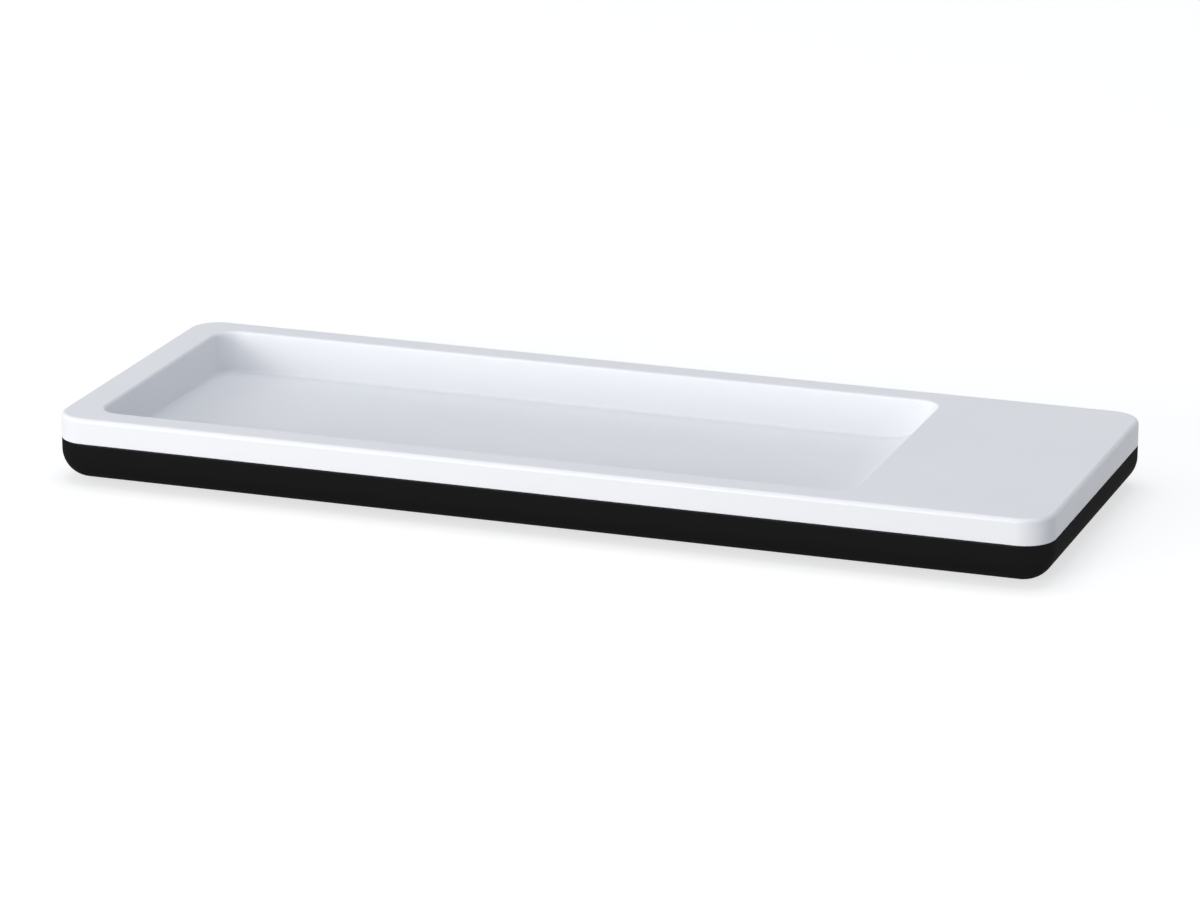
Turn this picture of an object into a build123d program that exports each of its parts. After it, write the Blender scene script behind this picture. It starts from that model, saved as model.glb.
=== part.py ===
"""A moulded desk pen tray: a white upper shell with a pen trough and a clip plateau, snapped on a black base.

Millimetres. The origin is the centre of the footprint on the desk, +X runs along the trough towards the
plateau, +Y is the back of the tray and +Z is up.
"""

import os
from math import acos, degrees

from build123d import *

# Outer form
length = 290.0
width = 106.0
shell_height = 19.0  # underside of the base up to the flat rim
seam_height = 11.5  # underside of the base up to the joint of the two shells
base_edge_radius = 8.3  # big rounding under the base
corner_extra = 0.7  # the vertical corners are this much rounder than the edge under the base
rim_edge_radius = 1.2  # outer edge of the rim
seam_chamfer = 0.3  # on the two edges that make the fine line of the joint

# Walls of the two mouldings
skirt_wall = 2.0
top_wall = 2.0
base_wall = 2.2

# Pen trough
end_rim = 10.5  # flat rim at the left end
side_rim = 8.7  # flat rim at the front and the back
plateau_length = 57.0  # flat top at the right end, measured from the outer edge
trough_depth = 12.3
trough_wall = 2.0
trough_draft = 2.0  # degrees
trough_corner_radius = 6.5  # corners of the opening, in plan
floor_fillet_radius = 1.0
ramp_run = 17.0  # concave slope that lifts the floor to the plateau
ramp_lip = 1.6  # short upright stretch between the top of the slope and the plateau
opening_edge_radius = 0.8

# Locating lip on the base and the snap hooks on the upper shell
fit_clearance = 0.15
lip_wall = 1.2
lip_top_clearance = 0.4
lip_root_depth = 2.0  # band under the joint that carries the lip
hook_width = 9.0
hook_wall = 1.2
hook_gap = 0.25
barb_reach = 0.7  # into the window
barb_height = 1.8
window_height = 2.4
window_side_clearance = 0.4
window_sill = 0.7  # solid lip between the joint and the window
barb_lock_clearance = 0.1
side_hook_count = 4
side_hook_pitch = 66.0
end_hook_count = 2
end_hook_pitch = 44.0

# Stiffening ribs inside the base
rib_wall = 1.2
rib_clearance = 0.4  # under the trough floor
cross_rib_count = 6
cross_rib_pitch = 36.0
long_rib_count = 2
long_rib_pitch = 46.0

# Magnet that holds the clips on the plateau, and its pocket
magnet_length = 40.0
magnet_width = 20.0
magnet_thickness = 3.0
magnet_chamfer = 0.4
pocket_wall = 1.2
pocket_clearance = 0.15
finger_width = 8.0
finger_slot = 1.0
finger_barb = 0.5
finger_barb_height = 1.0

# Rubber feet
foot_radius = 6.0
foot_recess = 1.0
foot_standing = 0.8  # how far the feet lift the base off the desk
foot_chamfer = 0.3
foot_seat_clearance = 0.2
foot_inset_x = 27.0
foot_inset_y = 19.0

# Heights and places worked out from the sizes above
corner_radius = base_edge_radius + corner_extra
base_low = foot_standing
seam = base_low + seam_height
rim = base_low + shell_height
rim_under = rim - top_wall
trough_floor = rim - trough_depth
trough_left = -length / 2 + end_rim
trough_right = length / 2 - plateau_length
trough_length = trough_right - trough_left
trough_width = width - 2 * side_rim
trough_middle = (trough_left + trough_right) / 2
ramp_start = trough_right - ramp_run
ramp_rise = trough_depth - ramp_lip
ramp_radius = (ramp_run**2 + ramp_rise**2) / (2 * ramp_rise)
lip_outset = skirt_wall + fit_clearance
lip_inset = lip_outset + lip_wall
lip_root = seam - lip_root_depth
lip_top = rim_under - lip_top_clearance
hook_outset = lip_inset + hook_gap
window_low = seam + window_sill
window_high = window_low + window_height
barb_top = window_high - barb_lock_clearance
magnet_x = length / 2 - plateau_length / 2
foot_thickness = foot_recess + foot_standing
foot_seat_radius = foot_radius + foot_seat_clearance
beyond = 10.0  # how far cutting shapes run past what they cut

# How plain blocks are set on their places
standing = (Align.CENTER, Align.CENTER, Align.MIN)
hanging = (Align.CENTER, Align.CENTER, Align.MAX)


def block(inset, low, high):
    """A slab with the tray's outline, drawn in by inset on every side."""
    outline = RectangleRounded(length - 2 * inset, width - 2 * inset, corner_radius - inset)
    return extrude(Pos(0, 0, low) * outline, high - low)


def bottom_edges(shape):
    return shape.edges().group_by(Axis.Z)[0]


def top_edges(shape):
    return shape.edges().group_by(Axis.Z)[-1]


def row(count, pitch):
    """Centres of evenly spaced features about zero."""
    return [(index - (count - 1) / 2) * pitch for index in range(count)]


def trough_form(wall):
    """The hollow of the trough, or with a wall the outside of the shell round it."""
    floor = trough_floor - wall
    depth = rim - floor
    outline = RectangleRounded(trough_length + 2 * wall, trough_width + 2 * wall, trough_corner_radius + wall)
    walls = extrude(Pos(trough_middle, 0, rim) * outline, depth, dir=(0, 0, -1), taper=trough_draft)

    radius = ramp_radius + wall
    turn = degrees(acos(1 - depth / radius))
    slope = JernArc((ramp_start, floor), (1, 0), radius, turn)
    left = trough_left - wall - beyond
    rest = Polyline(slope @ 1, (left, rim), (left, floor), slope @ 0)
    side_view = Plane.XZ * make_face(slope + rest)
    form = walls & extrude(side_view, width, both=True)

    floor_face = form.faces().sort_by(Axis.Z)[0]
    ramp_face = form.faces().filter_by(GeomType.CYLINDER)[0]
    joint = floor_face.edges() & ramp_face.edges()
    creases = floor_face.edges() + ramp_face.edges() - joint
    return fillet(creases, floor_fillet_radius + wall)


def hook_places():
    """Each hook's middle on the tray's edge, turned so that its own +Y points out through the wall."""
    places = []
    for x in row(side_hook_count, side_hook_pitch):
        places.append(Pos(x, width / 2, 0))
        places.append(Pos(x, -width / 2, 0) * Rot(0, 0, 180))
    for y in row(end_hook_count, end_hook_pitch):
        places.append(Pos(length / 2, y, 0) * Rot(0, 0, -90))
        places.append(Pos(-length / 2, y, 0) * Rot(0, 0, 90))
    return places


def snap_hook():
    """A short springy tongue under the rim, with a wedge that locks in a window of the lip."""
    root = rim_under + top_wall / 2
    tip = barb_top - barb_height
    outer = -hook_outset
    inner = outer - hook_wall
    wedge = outer + hook_gap + barb_reach
    profile = Polyline(
        (inner, root),
        (outer, root),
        (outer, barb_top),
        (wedge, barb_top),
        (outer, tip),
        (inner, tip),
        close=True,
    )
    return extrude(Plane.YZ * make_face(profile), hook_width / 2, both=True)


def hook_window():
    """The opening in the lip that a hook locks into."""
    middle = -lip_outset - lip_wall / 2
    opening = Box(hook_width + 2 * window_side_clearance, 2 * lip_wall, window_height, align=standing)
    return Pos(0, middle, window_low) * opening


def magnet_pocket():
    """Four thin walls under the plateau, two of them with spring fingers that hold the magnet up."""
    inside_x = magnet_width + 2 * pocket_clearance
    inside_y = magnet_length + 2 * pocket_clearance
    finger_tip = rim_under - magnet_thickness - finger_barb_height
    wall_height = rim_under - finger_tip
    low = Pos(magnet_x, 0, finger_tip)
    pocket = low * Box(inside_x + 2 * pocket_wall, inside_y + 2 * pocket_wall, wall_height, align=standing)
    pocket -= low * Box(inside_x, inside_y, wall_height, align=standing)
    for y in row(2, finger_width + finger_slot):
        pocket -= Pos(0, y, 0) * low * Box(2 * inside_x, finger_slot, wall_height, align=standing)
    face = inside_x / 2
    root = face + pocket_wall / 2
    barb_high = finger_tip + finger_barb_height
    barb = Polyline(
        (root, finger_tip),
        (face, finger_tip),
        (face - finger_barb, barb_high),
        (root, barb_high),
        close=True,
    )
    finger = extrude(Plane.XZ * make_face(barb), finger_width / 2, both=True)
    for turn in (0, 180):
        pocket += Pos(magnet_x, 0, 0) * Rot(0, 0, turn) * finger
    return pocket


def upper_tray():
    shell = block(0, seam, rim)
    shell = fillet(top_edges(shell), rim_edge_radius)
    shell = chamfer(bottom_edges(shell), seam_chamfer)
    shell -= block(skirt_wall, seam, rim_under)
    shell += trough_form(trough_wall)
    shell -= trough_form(0)
    rim_face = shell.faces().sort_by(Axis.Z)[-1]
    shell = fillet(rim_face.inner_wires()[0].edges(), opening_edge_radius)
    for place in hook_places():
        shell += place * snap_hook()
    return shell + magnet_pocket()


def foot_places():
    x = length / 2 - foot_inset_x
    y = width / 2 - foot_inset_y
    return {
        "foot_front_left": Pos(-x, -y, 0),
        "foot_front_right": Pos(x, -y, 0),
        "foot_back_left": Pos(-x, y, 0),
        "foot_back_right": Pos(x, y, 0),
    }


def base_form(wall):
    """The rounded pan of the base, drawn in by a wall."""
    form = block(wall, base_low + wall, seam)
    return fillet(bottom_edges(form), base_edge_radius - wall)


def base_ribs():
    """Low upright ribs on the pan's floor, just short of the trough."""
    height = trough_floor - trough_wall - rib_clearance - base_low
    rib_length = ramp_start - trough_left
    middle = (ramp_start + trough_left) / 2
    ribs = Part()
    for x in row(cross_rib_count, cross_rib_pitch):
        ribs += Pos(middle + x, 0, base_low) * Box(rib_wall, width, height, align=standing)
    for y in row(long_rib_count, long_rib_pitch):
        ribs += Pos(middle, y, base_low) * Box(rib_length, rib_wall, height, align=standing)
    return ribs & base_form(base_wall / 2)


def lower_base():
    pan = base_form(0)
    pan = chamfer(top_edges(pan), seam_chamfer)
    pan -= base_form(base_wall)
    pan += block(lip_outset, lip_root, lip_top) - block(lip_inset, lip_root, lip_top)
    pan += block(base_wall / 2, lip_root, seam) - block(lip_inset, lip_root, seam)
    for place in hook_places():
        pan -= place * hook_window()
    pan += base_ribs()
    boss = Pos(0, 0, base_low) * Cylinder(foot_seat_radius + base_wall, foot_recess + base_wall, align=standing)
    seat = Pos(0, 0, base_low) * Cylinder(foot_seat_radius, foot_recess, align=standing)
    for place in foot_places().values():
        pan += place * boss
        pan -= place * seat
    return pan


def rubber_foot():
    foot = Cylinder(foot_radius, foot_thickness, align=standing)
    return chamfer(bottom_edges(foot), foot_chamfer)


def clip_magnet():
    magnet = Box(magnet_width, magnet_length, magnet_thickness, align=hanging)
    magnet = chamfer(magnet.edges(), magnet_chamfer)
    return Pos(magnet_x, 0, rim_under) * magnet


nodes = {
    "upper_tray": upper_tray(),
    "lower_base": lower_base(),
    "clip_magnet": clip_magnet(),
}
for name, place in foot_places().items():
    nodes[name] = place * rubber_foot()

os.makedirs("parts", exist_ok=True)
for name, solid in nodes.items():
    export_step(solid, f"parts/{name}.step")
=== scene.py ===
"""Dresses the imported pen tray: two moulded shells, rubber feet, their finishes and a small photo studio.

Metres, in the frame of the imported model: +X runs along the trough towards the clip plateau, +Y is the back
of the tray, +Z is up, and the tray stands on Z = 0.
"""

import math

import bmesh
import bpy
from bpy.props import FloatProperty, FloatVectorProperty, IntProperty, PointerProperty
from bpy.types import Operator, Panel, PropertyGroup
from mathutils import Matrix, Vector


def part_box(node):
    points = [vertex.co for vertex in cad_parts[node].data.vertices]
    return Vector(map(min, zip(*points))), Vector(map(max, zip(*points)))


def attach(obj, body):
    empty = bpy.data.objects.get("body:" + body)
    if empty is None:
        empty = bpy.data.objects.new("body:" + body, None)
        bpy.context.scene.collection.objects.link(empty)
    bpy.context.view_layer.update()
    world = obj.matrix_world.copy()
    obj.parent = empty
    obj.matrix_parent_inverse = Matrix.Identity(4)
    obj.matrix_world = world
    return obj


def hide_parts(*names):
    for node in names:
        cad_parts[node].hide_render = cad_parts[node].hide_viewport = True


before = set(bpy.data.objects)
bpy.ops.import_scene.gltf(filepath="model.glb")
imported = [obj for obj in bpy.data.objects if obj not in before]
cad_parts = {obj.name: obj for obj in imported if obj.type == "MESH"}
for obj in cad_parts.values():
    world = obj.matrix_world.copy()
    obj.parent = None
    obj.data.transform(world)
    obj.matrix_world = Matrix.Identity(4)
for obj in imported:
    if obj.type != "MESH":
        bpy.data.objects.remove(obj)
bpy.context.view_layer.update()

bl_info = {
    "name": "Pen Tray",
    "version": (1, 0, 0),
    "blender": (4, 5, 0),
    "location": "View3D > Sidebar > Pen Tray",
    "description": "Builds a two-shell desk pen tray round its packed solids",
    "category": "Object",
}

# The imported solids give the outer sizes
tray_low, tray_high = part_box("upper_tray")
base_low, base_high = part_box("lower_base")
FEET = ("foot_front_left", "foot_front_right", "foot_back_left", "foot_back_right")
foot_low, foot_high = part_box(FEET[0])
BODY = "root"

MM = 0.001
TOUCH = 0.01 * MM  # points closer than this are the same
CREASE_ANGLE = math.radians(35)  # hidden edges sharper than this stay crisp
UPWARD = Vector((0, 0, 1))
WHITE = (1.0, 1.0, 1.0)

# Sizes of the stage
SENSOR_WIDTH = 36.0  # millimetres, as the lens is
FLOOR_REACH = 4.0  # metres from the middle of the floor to its edges
FLOOR_GAP = 0.1 * MM  # keeps the floor off the soles

# Headings of a wall that is drawn in
LEVEL = 0.0
DOWN = math.pi / 2
UP = -math.pi / 2


def linear_colour(hex_colour):
    """A #rrggbb colour as the linear RGB that shaders take."""
    channels = [int(hex_colour[start : start + 2], 16) / 255 for start in (1, 3, 5)]
    return [c / 12.92 if c <= 0.04045 else ((c + 0.055) / 1.055) ** 2.4 for c in channels]


def length_property(name, description, default):
    return FloatProperty(name=name, description=description, default=default, unit="LENGTH", precision=5)


def angle_property(name, description, degrees):
    return FloatProperty(name=name, description=description, default=math.radians(degrees), subtype="ANGLE")


def count_property(name, description, default, least):
    return IntProperty(name=name, description=description, default=default, min=least)


def power_property(name, description, watts):
    return FloatProperty(name=name, description=description, default=watts, min=0, unit="POWER")


def strength_property(name, description, default):
    return FloatProperty(name=name, description=description, default=default, min=0, max=1, subtype="FACTOR")


def colour_property(name, description, hex_colour):
    return FloatVectorProperty(
        name=name, description=description, default=linear_colour(hex_colour), subtype="COLOR", min=0, max=1
    )


# Sizes, colours and studio settings


class ShellSizes(PropertyGroup):
    """What the two shells share."""

    length: length_property("Length", "Outer length of both shells", tray_high.x - tray_low.x)
    width: length_property("Width", "Outer width of both shells", tray_high.y - tray_low.y)
    seam: length_property("Seam", "Height of the joint of the two shells above the desk", 12.3 * MM)
    corner_radius: length_property("Corner", "Radius of the upright corners", 9.0 * MM)
    corner_steps: count_property("Corner steps", "Faces round one corner", 16, 3)
    edge_steps: count_property("Edge steps", "Faces across one rounded edge", 6, 3)
    seam_rounding: length_property("Seam edge", "Rounding of both edges along the joint", 0.3 * MM)


class UpperTraySizes(PropertyGroup):
    """The white shell with the trough."""

    rim: length_property("Rim", "Height of the flat rim above the desk", tray_high.z)
    rim_rounding: length_property("Rim edge", "Rounding of the rim's outer edge", 1.2 * MM)
    skirt_wall: length_property("Skirt wall", "Thickness of the outer wall", 2.0 * MM)
    top_wall: length_property("Top wall", "Thickness of the rim and the plateau", 2.0 * MM)
    end_rim: length_property("End rim", "Flat rim at the left end", 10.5 * MM)
    side_rim: length_property("Side rim", "Flat rim at the front and the back", 8.7 * MM)
    plateau: length_property("Plateau", "Flat top at the right end", 57.0 * MM)
    trough_depth: length_property("Trough depth", "Rim down to the trough's floor", 12.3 * MM)
    trough_wall: length_property("Trough wall", "Thickness of the trough's walls and floor", 2.0 * MM)
    trough_corner: length_property("Trough corner", "Radius of the opening's corners", 6.5 * MM)
    draft: angle_property("Draft", "Lean of the trough's walls", 2.0)
    floor_rounding: length_property("Floor edge", "Rounding where the walls meet the floor", 1.0 * MM)
    opening_rounding: length_property("Opening edge", "Rounding of the trough's upper edge", 0.8 * MM)
    ramp_run: length_property("Ramp run", "Length of the concave slope up to the plateau", 17.0 * MM)
    ramp_lip: length_property("Ramp lip", "Upright stretch between the slope and the plateau", 1.6 * MM)
    ramp_steps: count_property("Ramp steps", "Facets of the slope between the trough's straight sides", 10, 3)


class LowerBaseSizes(PropertyGroup):
    """The black pan under the white shell."""

    edge_radius: length_property("Edge radius", "Big rounding under the base", 8.3 * MM)
    wall: length_property("Wall", "Thickness of the pan", 2.2 * MM)
    lip_inset: length_property("Lip inset", "Outer wall in to the locating lip", 2.15 * MM)
    lip_wall: length_property("Lip wall", "Thickness of the locating lip", 1.2 * MM)
    lip_root: length_property("Lip root", "Joint down to the step under the lip", 2.0 * MM)
    seat_clearance: length_property("Seat clearance", "Room round each foot in its seat", 0.2 * MM)
    seat_depth: length_property("Seat depth", "How deep each foot sits in the base", 1.0 * MM)
    edge_steps: count_property("Edge steps", "Faces across the big rounding", 16, 4)
    rib_wall: length_property("Rib wall", "Thickness of the stiffening ribs", 1.2 * MM)
    rib_clearance: length_property("Rib clearance", "Ribs up to the trough above them", 0.4 * MM)
    cross_ribs: count_property("Cross ribs", "Ribs from the front to the back", 6, 1)
    cross_pitch: length_property("Cross pitch", "Spacing of the cross ribs", 36.0 * MM)
    long_ribs: count_property("Long ribs", "Ribs along the trough", 2, 1)
    long_pitch: length_property("Long pitch", "Spacing of the long ribs", 46.0 * MM)


class SnapSizes(PropertyGroup):
    """Hooks under the white shell, and the windows in the lip that they lock in."""

    side_hooks: count_property("Side hooks", "Hooks along the front, and as many along the back", 4, 1)
    side_pitch: length_property("Side pitch", "Spacing of the hooks at the front and the back", 66.0 * MM)
    end_hooks: count_property("End hooks", "Hooks at each end", 2, 1)
    end_pitch: length_property("End pitch", "Spacing of the hooks at the ends", 44.0 * MM)
    width: length_property("Hook width", "Width of a hook", 9.0 * MM)
    wall: length_property("Hook wall", "Thickness of a hook", 1.2 * MM)
    gap: length_property("Hook gap", "Lip in to a hook", 0.25 * MM)
    barb_reach: length_property("Barb reach", "How far a barb enters its window", 0.7 * MM)
    barb_height: length_property("Barb height", "Height of a barb", 1.8 * MM)
    barb_clearance: length_property("Barb clearance", "Barb up to the window's upper edge", 0.1 * MM)
    window_height: length_property("Window height", "Height of a window", 2.4 * MM)
    window_side: length_property("Window side", "Room on each side of a hook", 0.4 * MM)
    window_sill: length_property("Window sill", "Joint up to a window", 0.7 * MM)


class PocketSizes(PropertyGroup):
    """Walls under the plateau that hold the magnet."""

    wall: length_property("Wall", "Thickness of the pocket's walls", 1.2 * MM)
    clearance: length_property("Clearance", "Room round the magnet", 0.15 * MM)
    finger_width: length_property("Finger width", "Width of the two spring fingers", 8.0 * MM)
    finger_slot: length_property("Finger slot", "Slot on each side of a finger", 1.0 * MM)
    barb_reach: length_property("Barb reach", "How far a finger's barb goes under the magnet", 0.5 * MM)
    barb_height: length_property("Barb height", "Height of a finger's barb", 1.0 * MM)


class FootSizes(PropertyGroup):
    """The four rubber discs."""

    radius: length_property("Radius", "Radius of a foot", (foot_high.x - foot_low.x) / 2)
    edge_rounding: length_property("Edge", "Rounding of the edge on the desk", 0.3 * MM)
    steps: count_property("Steps", "Faces round one foot", 64, 12)


class Finishes(PropertyGroup):
    """Colours of the mouldings, the feet and the magnet."""

    white: colour_property("White", "White ABS of the upper shell", "#ecedf0")
    white_cool: colour_property("White, cool", "The slightly cooler patches of the white", "#e9ebef")
    black: colour_property("Black", "Black ABS of the base", "#060607")
    black_handled: colour_property("Black, handled", "Faint greyer patches of the black", "#0a0a0b")
    rubber: colour_property("Rubber", "Rubber of the feet", "#1a1a1b")
    rubber_dusty: colour_property("Rubber, dusty", "Dust in the rubber's grit", "#2a2a2a")
    ferrite: colour_property("Ferrite", "Sintered magnet", "#353538")
    ferrite_pale: colour_property("Ferrite, pale", "Pale grains of the magnet", "#4a4a4d")


class StudioSettings(PropertyGroup):
    """Camera, lamps, room and floor."""

    azimuth: angle_property("Azimuth", "Camera's turn round the tray", 19.577)
    elevation: angle_property("Elevation", "Camera above the horizon", 17.569)
    distance: length_property("Distance", "Camera to the middle of the base", 1.515)
    lens: FloatProperty(name="Lens", description="Focal length in millimetres", default=160.6, unit="CAMERA")
    shift_x: FloatProperty(name="Shift X", description="Framing, in picture widths", default=0.00119)
    shift_y: FloatProperty(name="Shift Y", description="Framing, in picture widths", default=0.0239)
    key_power: power_property("Key", "Low soft box at the front left", 20.5)
    top_power: power_property("Top", "Soft box overhead", 20.5)
    side_power: power_property("Side", "Weak soft box at the left", 9.0)
    fill_power: power_property("Fill", "Weak low soft box at the right", 1.6)
    lamp_tint: colour_property("Lamp tint", "Tint of the soft boxes round the tray", "#fffdfa")
    ambient: strength_property("Ambient", "Light of the room", 0.36)
    floor_glow: strength_property("Floor glow", "Lifts the seen floor to white", 0.66)
    room: colour_property("Room", "Tint of the room's light", "#ecf3ff")
    floor: colour_property("Floor", "Pale paper under the tray", "#bcbcbc")


class PenTraySettings(PropertyGroup):
    """Everything that a user would change."""

    shell: PointerProperty(type=ShellSizes)
    upper: PointerProperty(type=UpperTraySizes)
    base: PointerProperty(type=LowerBaseSizes)
    snap: PointerProperty(type=SnapSizes)
    pocket: PointerProperty(type=PocketSizes)
    foot: PointerProperty(type=FootSizes)
    finish: PointerProperty(type=Finishes)
    studio: PointerProperty(type=StudioSettings)


# Mesh helpers


def block(low, high):
    """A plain closed block between two corners."""
    low, high = Vector(low), Vector(high)
    bm = bmesh.new()
    bmesh.ops.create_cube(bm, size=1, matrix=Matrix.LocRotScale((low + high) / 2, None, high - low))
    return bm


def disc(radius, low, high, steps):
    """A closed upright cylinder about the Z axis."""
    bm = bmesh.new()
    middle = Matrix.Translation(UPWARD * (low + high) / 2)
    bmesh.ops.create_cone(
        bm, cap_ends=True, radius1=radius, radius2=radius, depth=high - low, segments=steps, matrix=middle
    )
    return bm


def prism(outline, width):
    """A closed bar along X, from the Y and Z of its outline's corners."""
    bm = bmesh.new()
    end = bm.faces.new([bm.verts.new((-width / 2, y, z)) for y, z in outline])
    drawn = bmesh.ops.extrude_face_region(bm, geom=[end], use_keep_orig=True)["geom"]
    moved = [item for item in drawn if isinstance(item, bmesh.types.BMVert)]
    bmesh.ops.translate(bm, vec=(width, 0, 0), verts=moved)
    bmesh.ops.recalc_face_normals(bm, faces=bm.faces[:])
    return bm


def rounded_slab(shell, low, high, inset=0.0):
    """A closed slab with the tray's outline, drawn in; returns it with its top and its bottom face."""
    half = Vector((shell.length / 2 - inset, shell.width / 2 - inset, 0))
    bm = block(UPWARD * low - half, UPWARD * high + half)
    uprights = [edge for edge in bm.edges if abs(edge.verts[0].co.z - edge.verts[1].co.z) > TOUCH]
    bmesh.ops.bevel(
        bm,
        geom=uprights,
        offset=shell.corner_radius - inset,
        offset_type="OFFSET",
        segments=shell.corner_steps,
        profile=0.5,
        affect="EDGES",
        material=-1,
    )
    faces = sorted(bm.faces, key=lambda face: face.calc_center_median().z)
    return bm, faces[-1], faces[0]


def draw_in(bm, face, inward, down):
    """Moves a level face in and down, and leaves a band of wall where its edge was."""
    depth = -down if face.normal.z > 0 else down
    bmesh.ops.inset_region(
        bm, faces=[face], thickness=inward, depth=depth, use_boundary=True, use_even_offset=True
    )


def draw_arc(bm, face, radius, start, end, steps):
    """Draws a level face in along an arc, from one heading to another."""
    turn = (end - start) / steps
    chord = 2 * radius * math.sin(abs(turn) / 2)
    for step in range(steps):
        heading = start + turn * (step + 0.5)
        draw_in(bm, face, chord * math.cos(heading), chord * math.sin(heading))


def push(bm, face, height):
    """Extrudes a level face to a height; returns the moved face."""
    moved = bmesh.ops.extrude_discrete_faces(bm, faces=[face])["faces"][0]
    lift = height - moved.calc_center_median().z
    bmesh.ops.translate(bm, vec=UPWARD * lift, verts=moved.verts[:])
    return moved


def open_edges(bm, height):
    """Edges of openings that lie flat at one height."""
    return [
        edge
        for edge in bm.edges
        if edge.is_boundary and all(abs(vert.co.z - height) < TOUCH for vert in edge.verts)
    ]


def join(bm, part):
    """Adds one bmesh to another, and frees it."""
    carrier = bpy.data.meshes.new("carrier")
    part.to_mesh(carrier)
    part.free()
    bm.from_mesh(carrier)
    bpy.data.meshes.remove(carrier)


def row(count, pitch):
    """Centres of evenly spaced features about zero."""
    return [(index - (count - 1) / 2) * pitch for index in range(count)]


def copies(part, places):
    """One mesh with the part repeated at each place. The part itself is freed."""
    bm = bmesh.new()
    for place in places:
        copy = part.copy()
        bmesh.ops.transform(copy, matrix=place, verts=copy.verts[:])
        join(bm, copy)
    part.free()
    return bm


def combine(bm, part, operation):
    """Adds a closed part to a closed mesh, cuts it out, or keeps what the two share. The part is freed."""
    blanks = []
    for source in (bm, part):
        mesh = bpy.data.meshes.new("blank")
        source.to_mesh(mesh)
        blanks.append(bpy.data.objects.new("blank", mesh))
        bpy.context.scene.collection.objects.link(blanks[-1])
    part.free()
    step = blanks[0].modifiers.new("combine", "BOOLEAN")
    step.operation = operation
    step.solver = "EXACT"
    step.object = blanks[1]
    evaluated = blanks[0].evaluated_get(bpy.context.evaluated_depsgraph_get())
    result = bpy.data.meshes.new_from_object(evaluated)
    bm.clear()
    bm.from_mesh(result)
    bpy.data.meshes.remove(result)
    for blank in blanks:
        bpy.data.meshes.remove(blank.data)  # the object goes with it


def set_order(bm):
    """Orders a mesh by its corners' places. Booleans leave it in another order on each run."""
    for index, vert in enumerate(sorted(bm.verts, key=lambda vert: vert.co[:])):
        vert.index = index
    bm.verts.sort()
    for items in (bm.edges, bm.faces):
        ordered = sorted(items, key=lambda item: sorted(vert.index for vert in item.verts))
        for index, item in enumerate(ordered):
            item.index = index
        items.sort()


def add_piece(name, bm, material, node):
    """Makes the finished object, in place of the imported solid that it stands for."""
    bmesh.ops.recalc_face_normals(bm, faces=bm.faces[:])
    for face in bm.faces:
        face.smooth = True
    for edge in bm.edges:
        edge.smooth = edge.calc_face_angle(0) < CREASE_ANGLE
    set_order(bm)
    mesh = bpy.data.meshes.new(name)
    bm.to_mesh(mesh)
    bm.free()
    mesh.materials.append(material)
    piece = bpy.data.objects.new(name, mesh)
    bpy.context.scene.collection.objects.link(piece)
    flats = piece.modifiers.new("flat faces shade flat", "WEIGHTED_NORMAL")
    flats.keep_sharp = True
    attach(piece, BODY)
    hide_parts(node)


# Upper tray


def trough_plan(shell, upper):
    """The sharp opening at rim height: its left end, its right end and half its width."""
    left = -shell.length / 2 + upper.end_rim
    right = shell.length / 2 - upper.plateau
    return left, right, shell.width / 2 - upper.side_rim


def rounded_plate(shell, upper, grow, height):
    """One flat face with the opening's outline, grown on every side."""
    left, right, half_width = trough_plan(shell, upper)
    bm = bmesh.new()
    plate = bmesh.ops.create_grid(bm, x_segments=1, y_segments=1, size=0.5)
    bmesh.ops.scale(bm, vec=(right - left + 2 * grow, 2 * half_width + 2 * grow, 1), verts=plate["verts"])
    bmesh.ops.translate(bm, vec=((left + right) / 2, 0, height), verts=plate["verts"])
    bmesh.ops.bevel(
        bm,
        geom=plate["verts"],
        offset=upper.trough_corner + grow,
        offset_type="OFFSET",
        segments=shell.corner_steps,
        profile=0.5,
        affect="VERTICES",
        material=-1,
    )
    return bm, bm.faces[:][0]


def trough_skin(shell, upper, wall, top, edge_radius):
    """One side of the trough, open at its top: a rounded edge, walls with draft, a floor and the ramp."""
    steep = DOWN - upper.draft
    edge_reach = edge_radius * math.tan(steep / 2)
    floor_radius = upper.floor_rounding + wall
    floor_reach = floor_radius * math.tan(steep / 2)
    grow = wall + edge_reach - (upper.rim - top) * math.tan(upper.draft)
    bm, floor = rounded_plate(shell, upper, grow, top)
    if edge_radius > 0:
        draw_arc(bm, floor, edge_radius, LEVEL, steep, shell.edge_steps)
    depth = top - (upper.rim - upper.trough_depth - wall)
    straight = depth / math.cos(upper.draft) - edge_reach - floor_reach
    draw_in(bm, floor, straight * math.sin(upper.draft), straight * math.cos(upper.draft))
    wall_foot = floor.verts[0].co.z
    draw_arc(bm, floor, floor_radius, steep, LEVEL, shell.edge_steps)
    highest = straight * math.cos(upper.draft) - TOUCH  # the ramp ends below the opening's edge
    raise_ramp(bm, shell, upper, wall, wall_foot, highest)
    return bm


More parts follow.
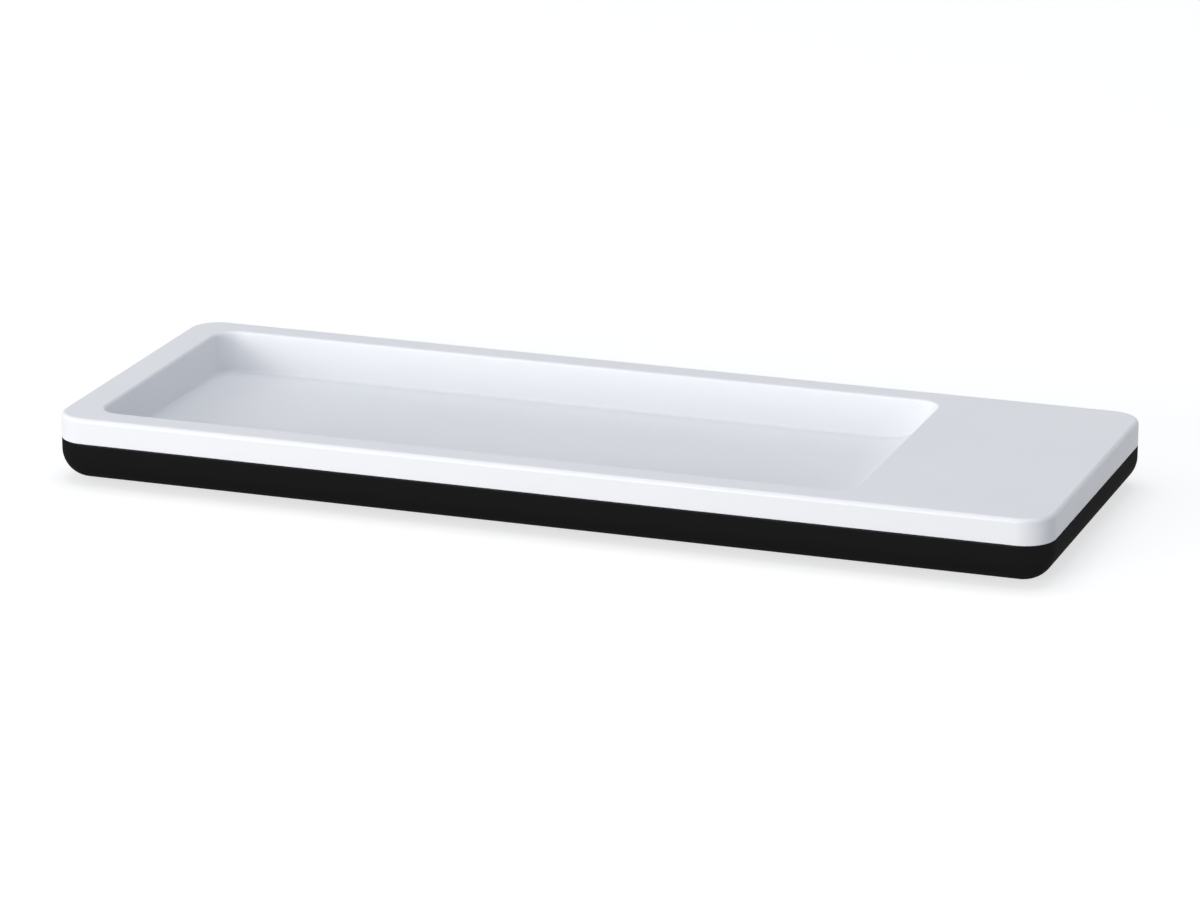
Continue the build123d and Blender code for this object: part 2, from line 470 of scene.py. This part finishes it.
def raise_ramp(bm, shell, upper, wall, wall_foot, highest):
    """Lifts the right end of the trough's floor along an arc, up the walls."""
    _, right, half_width = trough_plan(shell, upper)
    start = right - upper.ramp_run
    corner_start = right - upper.trough_corner
    pitch = (corner_start - start) / upper.ramp_steps
    cuts = [start + pitch * step for step in range(upper.ramp_steps + 1)]
    floor_height = min(vert.co.z for vert in bm.verts)
    floor_points = [vert.co.x for vert in bm.verts if vert.co.z < floor_height + TOUCH]
    # past the straight sides the cuts are in line with the points round the corners, to the micrometre
    cuts += sorted({round(x, 6) for x in floor_points if x > corner_start})[:-1]
    for x in cuts:
        faces = [face for face in bm.faces if all(vert.co.z < wall_foot + TOUCH for vert in face.verts)]
        edges = {edge for face in faces for edge in face.edges}
        verts = {vert for edge in edges for vert in edge.verts}
        bmesh.ops.bisect_plane(
            bm, geom=[*verts, *edges, *faces], dist=TOUCH, plane_co=(x, 0, 0), plane_no=(1, 0, 0)
        )
    rise = upper.trough_depth - upper.ramp_lip
    radius = (upper.ramp_run**2 + rise**2) / (2 * rise) + wall
    for vert in bm.verts:
        reach = vert.co.x - start
        if reach > 0 and vert.co.z < wall_foot + TOUCH:
            lift = min(radius - math.sqrt(radius**2 - reach**2), highest)
            beside_x = max(vert.co.x - corner_start, 0)
            beside_y = max(abs(vert.co.y) - half_width + upper.trough_corner, 0)
            outward = Vector((beside_x, math.copysign(beside_y, vert.co.y), 0)).normalized()
            vert.co += UPWARD * lift + outward * lift * math.tan(upper.draft)


def hook_places(shell, snap):
    """Each hook's middle on the tray's edge, turned so that its own +Y points out through the wall."""
    side = [Matrix.Translation((x, shell.width / 2, 0)) for x in row(snap.side_hooks, snap.side_pitch)]
    end = [Matrix.Translation((x, shell.length / 2, 0)) for x in row(snap.end_hooks, snap.end_pitch)]
    places = []
    for quarter, hooks in enumerate((side, end, side, end)):
        turn = Matrix.Rotation(quarter * math.pi / 2, 4, "Z")
        places += [turn @ place for place in hooks]
    return places


def snap_hooks(shell, upper, base, snap):
    """Springy tongues under the rim, each with a wedge that locks in a window of the lip."""
    barb_top = shell.seam + snap.window_sill + snap.window_height - snap.barb_clearance
    tip = barb_top - snap.barb_height
    root = upper.rim - upper.top_wall / 2
    outer = -(base.lip_inset + base.lip_wall + snap.gap)
    inner = outer - snap.wall
    wedge = outer + snap.gap + snap.barb_reach
    outline = ((inner, root), (outer, root), (outer, barb_top), (wedge, barb_top), (outer, tip), (inner, tip))
    return copies(prism(outline, snap.width), hook_places(shell, snap))


def magnet_pocket(upper, pocket):
    """Four thin walls under the plateau, two of them with spring fingers that hold the magnet up."""
    magnet_low, magnet_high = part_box("clip_magnet")
    middle = (magnet_low + magnet_high) / 2
    tip = magnet_low.z - pocket.barb_height
    root = upper.rim - upper.top_wall / 2
    inside_x = middle.x - magnet_low.x + pocket.clearance
    inside_y = middle.y - magnet_low.y + pocket.clearance
    outside_x = inside_x + pocket.wall
    outside_y = inside_y + pocket.wall
    walls = block((-outside_x, -outside_y, tip), (outside_x, outside_y, root))
    low, high = tip - pocket.wall, root + pocket.wall
    combine(walls, block((-inside_x, -inside_y, low), (inside_x, inside_y, high)), "DIFFERENCE")
    gap = pocket.finger_width / 2 + pocket.finger_slot
    combine(walls, block((-2 * outside_x, -gap, low), (2 * outside_x, gap, high)), "DIFFERENCE")
    finger = (
        (outside_x, root),
        (inside_x, root),
        (inside_x, magnet_low.z),
        (inside_x - pocket.barb_reach, magnet_low.z),
        (inside_x, tip),
        (outside_x, tip),
    )
    turns = [Matrix.Rotation(turn, 4, "Z") for turn in (math.pi / 2, -math.pi / 2)]
    join(walls, copies(prism(finger, pocket.finger_width), turns))
    bmesh.ops.translate(walls, vec=(middle.x, middle.y, 0), verts=walls.verts[:])
    return walls


def upper_tray_mesh(tray):
    """A rounded slab, hollow from below, with the trough's two skins, the hooks and the magnet's pocket."""
    shell, upper = tray.shell, tray.upper
    bm, top, bottom = rounded_slab(shell, shell.seam + shell.seam_rounding, upper.rim - upper.rim_rounding)
    draw_arc(bm, top, upper.rim_rounding, UP, LEVEL, shell.edge_steps)
    draw_arc(bm, bottom, shell.seam_rounding, DOWN, LEVEL, shell.edge_steps)
    draw_in(bm, bottom, upper.skirt_wall - shell.seam_rounding, 0)
    ceiling_height = upper.rim - upper.top_wall
    ceiling = push(bm, bottom, ceiling_height)
    bmesh.ops.delete(bm, geom=[top, ceiling], context="FACES_ONLY")
    join(bm, trough_skin(shell, upper, 0, upper.rim, upper.opening_rounding))
    join(bm, trough_skin(shell, upper, upper.trough_wall, ceiling_height, 0))
    for height in (upper.rim, ceiling_height):
        bmesh.ops.triangle_fill(bm, use_beauty=True, edges=open_edges(bm, height), normal=UPWARD)
    bmesh.ops.recalc_face_normals(bm, faces=bm.faces[:])
    combine(bm, snap_hooks(shell, upper, tray.base, tray.snap), "UNION")
    combine(bm, magnet_pocket(upper, tray.pocket), "UNION")
    return bm


# Lower base


def pan_form(shell, base, inset, top):
    """The rounded pan of the base as a solid, drawn in on every side but its top."""
    bm, _, bottom = rounded_slab(shell, base_low.z + base.edge_radius, top, inset)
    draw_arc(bm, bottom, base.edge_radius - inset, DOWN, LEVEL, base.edge_steps)
    return bm


def base_ribs(shell, upper, base):
    """Low upright ribs on the pan's floor, just short of the trough: the cross ribs and the long ribs."""
    left, right, _ = trough_plan(shell, upper)
    ramp_start = right - upper.ramp_run
    middle = (left + ramp_start) / 2
    top = upper.rim - upper.trough_depth - upper.trough_wall - base.rib_clearance
    half = base.rib_wall / 2
    across = shell.width / 2
    cross_rib = block((middle - half, -across, base_low.z), (middle + half, across, top))
    long_rib = block((left, -half, base_low.z), (ramp_start, half, top))
    return (
        copies(cross_rib, [Matrix.Translation((x, 0, 0)) for x in row(base.cross_ribs, base.cross_pitch)]),
        copies(long_rib, [Matrix.Translation((0, y, 0)) for y in row(base.long_ribs, base.long_pitch)]),
    )


def hook_windows(shell, base, snap):
    """Openings in the lip that the hooks lock into."""
    half = snap.width / 2 + snap.window_side
    middle = -(base.lip_inset + base.lip_wall / 2)
    low = shell.seam + snap.window_sill
    high = low + snap.window_height
    window = block((-half, middle - base.lip_wall, low), (half, middle + base.lip_wall, high))
    return copies(window, hook_places(shell, snap))


def foot_place(node):
    """Where a foot stands on the desk."""
    low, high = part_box(node)
    return Matrix.Translation(((low.x + high.x) / 2, (low.y + high.y) / 2, 0))


def cut_foot_seats(bm, base, foot):
    """Gives each foot a round boss inside the pan, and a shallow seat in its underside."""
    places = [foot_place(node) for node in FEET]
    radius = foot.radius + base.seat_clearance
    top = base_low.z + base.seat_depth
    boss = disc(radius + base.wall, base_low.z + base.wall / 2, top + base.wall, foot.steps)
    combine(bm, copies(boss, places), "UNION")
    seat = disc(radius, base_low.z - base.seat_depth, top, foot.steps)
    combine(bm, copies(seat, places), "DIFFERENCE")


def lower_base_mesh(tray):
    """A rounded pan with the lip on its edge, windows in the lip, ribs inside and seats underneath."""
    shell, base = tray.shell, tray.base
    bm, top, bottom = rounded_slab(shell, base_low.z + base.edge_radius, shell.seam - shell.seam_rounding)
    draw_arc(bm, bottom, base.edge_radius, DOWN, LEVEL, base.edge_steps)
    draw_arc(bm, top, shell.seam_rounding, UP, LEVEL, shell.edge_steps)
    draw_in(bm, top, base.lip_inset - shell.seam_rounding, 0)
    lip = push(bm, top, base_high.z)
    draw_in(bm, lip, base.lip_wall, 0)
    push(bm, lip, base_low.z + base.edge_radius)
    combine(bm, pan_form(shell, base, base.wall, shell.seam - base.lip_root), "DIFFERENCE")
    combine(bm, hook_windows(shell, base, tray.snap), "DIFFERENCE")
    for ribs in base_ribs(shell, tray.upper, base):
        combine(ribs, pan_form(shell, base, base.wall / 2, shell.seam), "INTERSECT")
        combine(bm, ribs, "UNION")
    cut_foot_seats(bm, base, tray.foot)
    return bm


# Feet


def foot_mesh(shell, foot, node):
    """A disc with a rounded edge on the desk."""
    low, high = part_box(node)
    bm = disc(foot.radius, low.z + foot.edge_rounding, high.z, foot.steps)
    sole = min(bm.faces, key=lambda face: face.calc_center_median().z)
    draw_arc(bm, sole, foot.edge_rounding, DOWN, LEVEL, shell.edge_steps)
    bmesh.ops.transform(bm, matrix=foot_place(node), verts=bm.verts[:])
    return bm


# Materials


def add_node(tree, kind, settings=None, values=None, links=None):
    """Adds a node, sets its options and sockets, and links other nodes' sockets into it."""
    node = tree.nodes.new(kind)
    for name, value in (settings or {}).items():
        setattr(node, name, value)
    for name, value in (values or {}).items():
        node.inputs[name].default_value = value
    for name, source in (links or {}).items():
        tree.links.new(source, node.inputs[name])
    return node


def new_material(name):
    """An empty node material, its tree and the output that a shader goes into."""
    material = bpy.data.materials.new(name)
    material.use_nodes = True
    tree = material.node_tree
    tree.nodes.clear()
    return material, tree, tree.nodes.new("ShaderNodeOutputMaterial")


def per_metre(millimetres):
    """A pattern's scale from the real size of its features."""
    return 1 / (millimetres * MM)


def rgba(colour):
    return (*colour, 1.0)


def moulded_plastic(name, colours, roughness, mottle_size, grain_size, grain_height, values):
    """A moulding: two close tones, a roughness that drifts a little, and the grain of the mould."""
    material, tree, output = new_material(name)
    place = add_node(tree, "ShaderNodeTexCoord").outputs["Object"]
    mottle = add_node(
        tree,
        "ShaderNodeTexNoise",
        values={"Scale": per_metre(mottle_size), "Detail": 3.0, "Roughness": 0.55},
        links={"Vector": place},
    )
    grain = add_node(
        tree,
        "ShaderNodeTexNoise",
        values={"Scale": per_metre(grain_size), "Detail": 2.0, "Roughness": 0.6},
        links={"Vector": place},
    )
    tone = add_node(
        tree,
        "ShaderNodeMix",
        settings={"data_type": "RGBA"},
        values={"A": rgba(colours[0]), "B": rgba(colours[1])},
        links={"Factor": mottle.outputs["Fac"]},
    )
    gloss = add_node(
        tree,
        "ShaderNodeMapRange",
        values={"From Min": 0.3, "From Max": 0.7, "To Min": roughness[0], "To Max": roughness[1]},
        links={"Value": mottle.outputs["Fac"]},
    )
    bump = add_node(
        tree,
        "ShaderNodeBump",
        values={"Strength": 1.0, "Distance": grain_height * MM},
        links={"Height": grain.outputs["Fac"]},
    )
    shader = add_node(
        tree,
        "ShaderNodeBsdfPrincipled",
        values=values,
        links={
            "Base Color": tone.outputs["Result"],
            "Roughness": gloss.outputs["Result"],
            "Normal": bump.outputs["Normal"],
            "Coat Normal": bump.outputs["Normal"],
        },
    )
    tree.links.new(shader.outputs["BSDF"], output.inputs["Surface"])
    return material


def white_abs(finish):
    """White ABS from a finely eroded mould: opaque, evenly bright, with a soft sheen and no clear mirror.
    The real grain is about 0.1 mm, too fine to show, so it is drawn at 0.5 mm."""
    return moulded_plastic(
        "white moulded ABS",
        (finish.white, finish.white_cool),
        roughness=(0.36, 0.44),
        mottle_size=28.0,
        grain_size=0.5,
        grain_height=0.004,
        values={"IOR": 1.53},
    )


def black_abs(finish):
    """Black ABS from a polished mould: deep black with a clear, faint mirror and a trace of orange peel.
    A thin coat alone mirrors. Its high IOR keeps the mirror nearly as faint at a slant as it is face on."""
    return moulded_plastic(
        "black gloss ABS",
        (finish.black, finish.black_handled),
        roughness=(0.07, 0.12),
        mottle_size=18.0,
        grain_size=3.5,
        grain_height=0.004,
        values={"Specular IOR Level": 0.0, "Coat Weight": 0.045, "Coat Roughness": 0.06, "Coat IOR": 2.5},
    )


def foot_rubber(finish):
    """Black rubber pressed in a gritty mould: dull, with dust in the grit."""
    return moulded_plastic(
        "black foot rubber",
        (finish.rubber, finish.rubber_dusty),
        roughness=(0.72, 0.86),
        mottle_size=1.6,
        grain_size=0.4,
        grain_height=0.03,
        values={"IOR": 1.52, "Specular IOR Level": 0.35},
    )


def sintered_ferrite(finish):
    """Sintered ferrite as ground: matt dark grey with paler grains."""
    return moulded_plastic(
        "sintered ferrite",
        (finish.ferrite, finish.ferrite_pale),
        roughness=(0.5, 0.65),
        mottle_size=0.8,
        grain_size=0.3,
        grain_height=0.01,
        values={"IOR": 1.9},
    )


# Stage


def seen_directly(tree):
    """1 for rays that show the background: straight from the camera, mirrored or through glass."""
    path = add_node(tree, "ShaderNodeLightPath")
    mirrored = add_node(
        tree,
        "ShaderNodeMath",
        settings={"operation": "MAXIMUM"},
        links={0: path.outputs["Is Camera Ray"], 1: path.outputs["Is Glossy Ray"]},
    )
    either = add_node(
        tree,
        "ShaderNodeMath",
        settings={"operation": "MAXIMUM"},
        links={0: mirrored.outputs["Value"], 1: path.outputs["Is Transmission Ray"]},
    )
    return either.outputs["Value"]


def floor_paper(studio):
    """Pale seamless paper that shows as white where it is lit, and keeps the tray's shadow."""
    material, tree, output = new_material("pale floor paper")
    place = add_node(tree, "ShaderNodeTexCoord").outputs["Object"]
    fibres = add_node(
        tree,
        "ShaderNodeTexNoise",
        values={"Scale": per_metre(4.0), "Detail": 3.0},
        links={"Vector": place},
    )
    bump = add_node(
        tree,
        "ShaderNodeBump",
        values={"Strength": 0.3, "Distance": 0.01 * MM},
        links={"Height": fibres.outputs["Fac"]},
    )
    paper = add_node(
        tree,
        "ShaderNodeBsdfDiffuse",
        values={"Color": rgba(studio.floor)},
        links={"Normal": bump.outputs["Normal"]},
    )
    strength = add_node(
        tree,
        "ShaderNodeMath",
        settings={"operation": "MULTIPLY"},
        values={1: studio.floor_glow},
        links={0: seen_directly(tree)},
    )
    glow = add_node(tree, "ShaderNodeEmission", links={"Strength": strength.outputs["Value"]})
    both = add_node(
        tree,
        "ShaderNodeAddShader",
        links={0: paper.outputs["BSDF"], 1: glow.outputs["Emission"]},
    )
    tree.links.new(both.outputs["Shader"], output.inputs["Surface"])
    return material


def room_light(studio):
    """Even, slightly cool light of the room, with a white background."""
    world = bpy.data.worlds.new("studio room")
    world.use_nodes = True
    tree = world.node_tree
    tree.nodes.clear()
    output = tree.nodes.new("ShaderNodeOutputWorld")
    light = add_node(
        tree, "ShaderNodeBackground", values={"Color": rgba(studio.room), "Strength": studio.ambient}
    )
    white = add_node(tree, "ShaderNodeBackground", values={"Color": rgba(WHITE), "Strength": 1.0})
    mix = add_node(
        tree,
        "ShaderNodeMixShader",
        links={
            0: seen_directly(tree),
            1: light.outputs["Background"],
            2: white.outputs["Background"],
        },
    )
    tree.links.new(mix.outputs["Shader"], output.inputs["Surface"])
    bpy.context.scene.world = world


def around(azimuth, elevation):
    """Direction from the tray towards the camera or a lamp. Azimuth 0 is straight in front."""
    flat = math.cos(elevation)
    return Vector((math.sin(azimuth) * flat, -math.cos(azimuth) * flat, math.sin(elevation)))


def soft_box(name, azimuth, elevation, distance, size, power, tint):
    """A rectangular area lamp that faces the tray, placed by angles in degrees."""
    lamp = bpy.data.lights.new(name, "AREA")
    lamp.shape = "RECTANGLE"
    lamp.size, lamp.size_y = size
    lamp.energy = power
    lamp.color = tint
    box = bpy.data.objects.new(name, lamp)
    towards = around(math.radians(azimuth), math.radians(elevation))
    box.location = towards * distance
    box.rotation_euler = towards.to_track_quat("Z", "Y").to_euler()
    box.visible_camera = False
    bpy.context.scene.collection.objects.link(box)


def add_lamps(studio):
    """A key light low in front, a large one overhead, and weak ones at the left and low at the right."""
    soft_box(
        "key soft box",
        azimuth=-19,
        elevation=8,
        distance=1.6,
        size=(1.0, 0.6),
        power=studio.key_power,
        tint=studio.lamp_tint,
    )
    soft_box(
        "top soft box",
        azimuth=-150,
        elevation=84,
        distance=2.5,
        size=(1.8, 1.8),
        power=studio.top_power,
        tint=WHITE,
    )
    soft_box(
        "side soft box",
        azimuth=-80,
        elevation=25,
        distance=3.0,
        size=(1.4, 0.9),
        power=studio.side_power,
        tint=studio.lamp_tint,
    )
    soft_box(
        "fill soft box",
        azimuth=90,
        elevation=3,
        distance=1.5,
        size=(1.0, 0.2),
        power=studio.fill_power,
        tint=studio.lamp_tint,
    )


def add_camera(studio):
    """The photo's own view, aimed at the middle of the base's underside."""
    data = bpy.data.cameras.new("photo camera")
    data.sensor_width = SENSOR_WIDTH
    data.lens = studio.lens
    data.shift_x = studio.shift_x
    data.shift_y = studio.shift_y
    camera = bpy.data.objects.new("photo camera", data)
    back = around(studio.azimuth, studio.elevation)
    camera.location = UPWARD * base_low.z + back * studio.distance
    camera.rotation_euler = back.to_track_quat("Z", "Y").to_euler()
    bpy.context.scene.collection.objects.link(camera)
    bpy.context.scene.camera = camera


def add_floor(studio):
    """A wide flat floor just under the soles."""
    bm = bmesh.new()
    place = Matrix.Translation(-UPWARD * FLOOR_GAP)
    bmesh.ops.create_grid(bm, x_segments=1, y_segments=1, size=FLOOR_REACH, matrix=place)
    mesh = bpy.data.meshes.new("floor")
    bm.to_mesh(mesh)
    bm.free()
    mesh.materials.append(floor_paper(studio))
    floor = bpy.data.objects.new("floor", mesh)
    bpy.context.scene.collection.objects.link(floor)


# Operators


class PENTRAY_OT_upper_tray(Operator):
    """Build the white upper shell with its trough, clip plateau, hooks and magnet pocket"""

    bl_idname = "pen_tray.upper_tray"
    bl_label = "Upper tray"

    def execute(self, context):
        tray = context.scene.pen_tray
        add_piece("white_shell", upper_tray_mesh(tray), white_abs(tray.finish), "upper_tray")
        return {"FINISHED"}


class PENTRAY_OT_lower_base(Operator):
    """Build the black base with its rounded underside, locating lip, ribs and foot seats"""

    bl_idname = "pen_tray.lower_base"
    bl_label = "Lower base"

    def execute(self, context):
        tray = context.scene.pen_tray
        add_piece("black_pan", lower_base_mesh(tray), black_abs(tray.finish), "lower_base")
        return {"FINISHED"}


class PENTRAY_OT_feet(Operator):
    """Build the four rubber feet"""

    bl_idname = "pen_tray.feet"
    bl_label = "Rubber feet"

    def execute(self, context):
        tray = context.scene.pen_tray
        rubber = foot_rubber(tray.finish)
        for node in FEET:
            add_piece("rubber_" + node, foot_mesh(tray.shell, tray.foot, node), rubber, node)
        return {"FINISHED"}


class PENTRAY_OT_magnet(Operator):
    """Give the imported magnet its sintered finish"""

    bl_idname = "pen_tray.magnet"
    bl_label = "Clip magnet"

    def execute(self, context):
        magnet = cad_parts["clip_magnet"]
        magnet.data.materials.clear()
        magnet.data.materials.append(sintered_ferrite(context.scene.pen_tray.finish))
        return {"FINISHED"}


class PENTRAY_OT_stage(Operator):
    """Set up the floor, the lamps, the room and the camera"""

    bl_idname = "pen_tray.stage"
    bl_label = "Studio"

    def execute(self, context):
        studio = context.scene.pen_tray.studio
        context.scene.view_settings.view_transform = "Standard"
        add_floor(studio)
        room_light(studio)
        add_lamps(studio)
        add_camera(studio)
        return {"FINISHED"}


class PENTRAY_PT_sidebar(Panel):
    """Lists the pieces and their sizes"""

    bl_label = "Pen Tray"
    bl_idname = "PENTRAY_PT_sidebar"
    bl_space_type = "VIEW_3D"
    bl_region_type = "UI"
    bl_category = "Pen Tray"

    def draw(self, context):
        tray = context.scene.pen_tray
        for operator in OPERATORS:
            self.layout.operator(operator.bl_idname)
        for group_name in PenTraySettings.__annotations__:
            group = getattr(tray, group_name)
            box = self.layout.box()
            box.label(text=group.bl_rna.description)
            for size_name in type(group).__annotations__:
                box.prop(group, size_name)


GROUPS = (
    ShellSizes,
    UpperTraySizes,
    LowerBaseSizes,
    SnapSizes,
    PocketSizes,
    FootSizes,
    Finishes,
    StudioSettings,
    PenTraySettings,
)
OPERATORS = (
    PENTRAY_OT_upper_tray,
    PENTRAY_OT_lower_base,
    PENTRAY_OT_feet,
    PENTRAY_OT_magnet,
    PENTRAY_OT_stage,
)


def register():
    for cls in (*GROUPS, *OPERATORS, PENTRAY_PT_sidebar):
        bpy.utils.register_class(cls)
    bpy.types.Scene.pen_tray = PointerProperty(type=PenTraySettings)


def unregister():
    del bpy.types.Scene.pen_tray
    for cls in reversed((*GROUPS, *OPERATORS, PENTRAY_PT_sidebar)):
        bpy.utils.unregister_class(cls)


def main():
    """Builds everything in order."""
    register()
    bpy.ops.pen_tray.upper_tray()
    bpy.ops.pen_tray.lower_base()
    bpy.ops.pen_tray.feet()
    bpy.ops.pen_tray.magnet()
    bpy.ops.pen_tray.stage()


if __name__ == "__main__":
    main()
